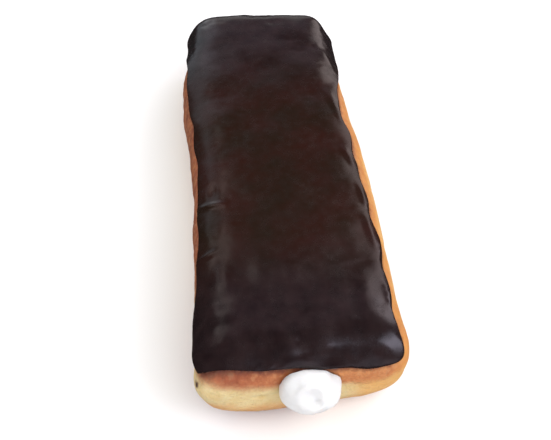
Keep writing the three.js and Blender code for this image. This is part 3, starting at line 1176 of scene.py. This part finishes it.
# %% Lay the floor
FLOOR_SIZE = 4  # metres
FLOOR_GAP = 0.05 * MM
PAPER_COLOUR = (0.94, 0.94, 0.94, 1)
PAPER_ROUGHNESS = 0.9

bpy.ops.object.select_all(action="DESELECT")
bpy.ops.mesh.primitive_plane_add(size=FLOOR_SIZE, location=(0, 0, -FLOOR_GAP))
floor = bpy.context.object
floor.name = "floor"
paper, _, paper_shader = new_material("pale floor")
paper_shader.inputs["Base Color"].default_value = PAPER_COLOUR
paper_shader.inputs["Roughness"].default_value = PAPER_ROUGHNESS
floor.data.materials.append(paper)
floor.visible_glossy = False
floor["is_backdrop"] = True
print(f"floor: {FLOOR_SIZE} m wide")

# %% [markdown]
# ## Panels of light
#
# A dark glossy coat shows its surroundings as in a mirror, so light for the crust and light for
# the icing are two tasks. A large key and a fill give the crust its form and aren't mirrored.
# Smaller panels round the bar are there to be mirrored: a bluish one for the glint at the near
# right corner, a low one in front for the near lip, reddish ones for the right rim, and dim ones
# for the sheen on the left and at the far end.

# %% Hang the panels
DISTANCE = 1.0  # metres
# Turn from the near end and height in degrees, width and height in metres, glow with 1 for white
# paper, colour, and whether the icing mirrors it.
PANELS = {
    "key": (46, 54, 0.8, 0.8, 2.3, (1, 0.99, 0.97), False),
    "fill": (-65, 50, 0.8, 0.8, 0.55, (1, 1, 1), False),
    "window": (52, 42, 0.38, 0.34, 4.2, (0.84, 0.82, 1), True),
    "front": (20, 12, 0.5, 0.3, 0.8, (0.94, 0.86, 1), True),
    "right back": (143, 22, 0.3, 0.75, 1.3, (1, 0.86, 0.84), True),
    "right side": (113, 38, 0.26, 0.5, 2.8, (0.98, 0.88, 0.95), True),
    "right high": (130, 46, 0.26, 0.4, 1.5, (1, 0.82, 0.84), True),
    "left back": (-158, 16, 0.56, 0.72, 0.48, (0.8, 0.9, 1), True),
    "left side": (-134, 43, 0.18, 0.26, 0.75, (1, 0.9, 0.86), True),
    "left high": (-150, 55, 0.45, 0.36, 0.75, (1, 0.88, 0.84), True),
    "far wall": (180, 9, 0.7, 0.34, 0.5, (1, 0.97, 0.97), True),
    "far haze": (180, 28, 0.7, 0.25, 0.2, (1, 0.78, 1), True),
    "overhead": (165, 66, 0.5, 0.35, 0.12, (1, 0.75, 1), True),
}


def hang(name, turn, height, width, tall, glow, colour, mirrored):
    """A rectangle of soft light that looks at the doughnut."""
    back = towards(math.radians(turn), math.radians(height))
    bpy.ops.object.light_add(type="AREA", location=back * DISTANCE)
    light = bpy.context.object
    light.name = name
    light.rotation_euler = back.to_track_quat("Z", "Y").to_euler()
    light.visible_glossy = mirrored
    light.data.shape = "RECTANGLE"
    light.data.size = width
    light.data.size_y = tall
    light.data.energy = glow * math.pi * width * tall
    light.data.color = colour


for name, values in PANELS.items():
    hang(name, *values)
print(f"light: {len(PANELS)} panels, {DISTANCE} m away")

# %% [markdown]
# ## Light from all round
#
# A white room lights every side softly and stands behind the floor as a white backdrop, but
# mirrored in the icing it would turn the chocolate grey. A Light Path node tells the rays apart,
# so that each kind gets its own strength.

# %% Light from all round
SKY_ROUND = 0.82  # what falls on every side of the doughnut
SKY_MIRRORED = 0.03  # what the icing mirrors
SKY_SEEN = 1.0  # the backdrop behind the floor
SKY_COLOUR = (0.96, 0.98, 1, 1)

scene = bpy.context.scene
scene.view_settings.view_transform = "Standard"
scene.world = scene.world or bpy.data.worlds.new("studio")
scene.world.use_nodes = True
sky_tree = scene.world.node_tree
sky = sky_tree.nodes["Background"]
sky.inputs["Color"].default_value = SKY_COLOUR
ray = put(sky_tree, "ShaderNodeLightPath").outputs
glow = SKY_ROUND
for kind, strength in (("Is Glossy Ray", SKY_MIRRORED), ("Is Camera Ray", SKY_SEEN)):
    glow = put(sky_tree, "ShaderNodeMapRange", {0: ray[kind], 3: glow, 4: strength}).outputs[0]
sky_tree.links.new(glow, sky.inputs["Strength"])
print(f"sky: {SKY_ROUND} all round, {SKY_MIRRORED} mirrored")

# %% [markdown]
# ## Handing over
#
# Each finished piece takes the place of its solid: it rides on the same body and hides the solid
# that it replaces.

# %% Hand the pieces over
for piece, node in ((dough, "dough"), (icing, "icing"), (cream, "cream")):
    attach(piece, "root")
    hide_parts(node)
    print(f"{piece.name} replaces {node}: {triangles(piece)} triangles")

# %% [markdown]
# ## Measuring at the end
#
# A finish that grew past its solid would no longer fit in a box or on a tray, so the size of the
# solids, taken at the start, and that of the finished doughnut are printed side by side.

# %% Print the sizes and finish
visual_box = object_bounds()
sizes = {"cad": [list(corner) for corner in cad_box], "visual": [list(corner) for corner in visual_box]}
for label, box in sizes.items():
    print(f"{label} box", [round(value / MM, 1) for corner in box for value in corner])
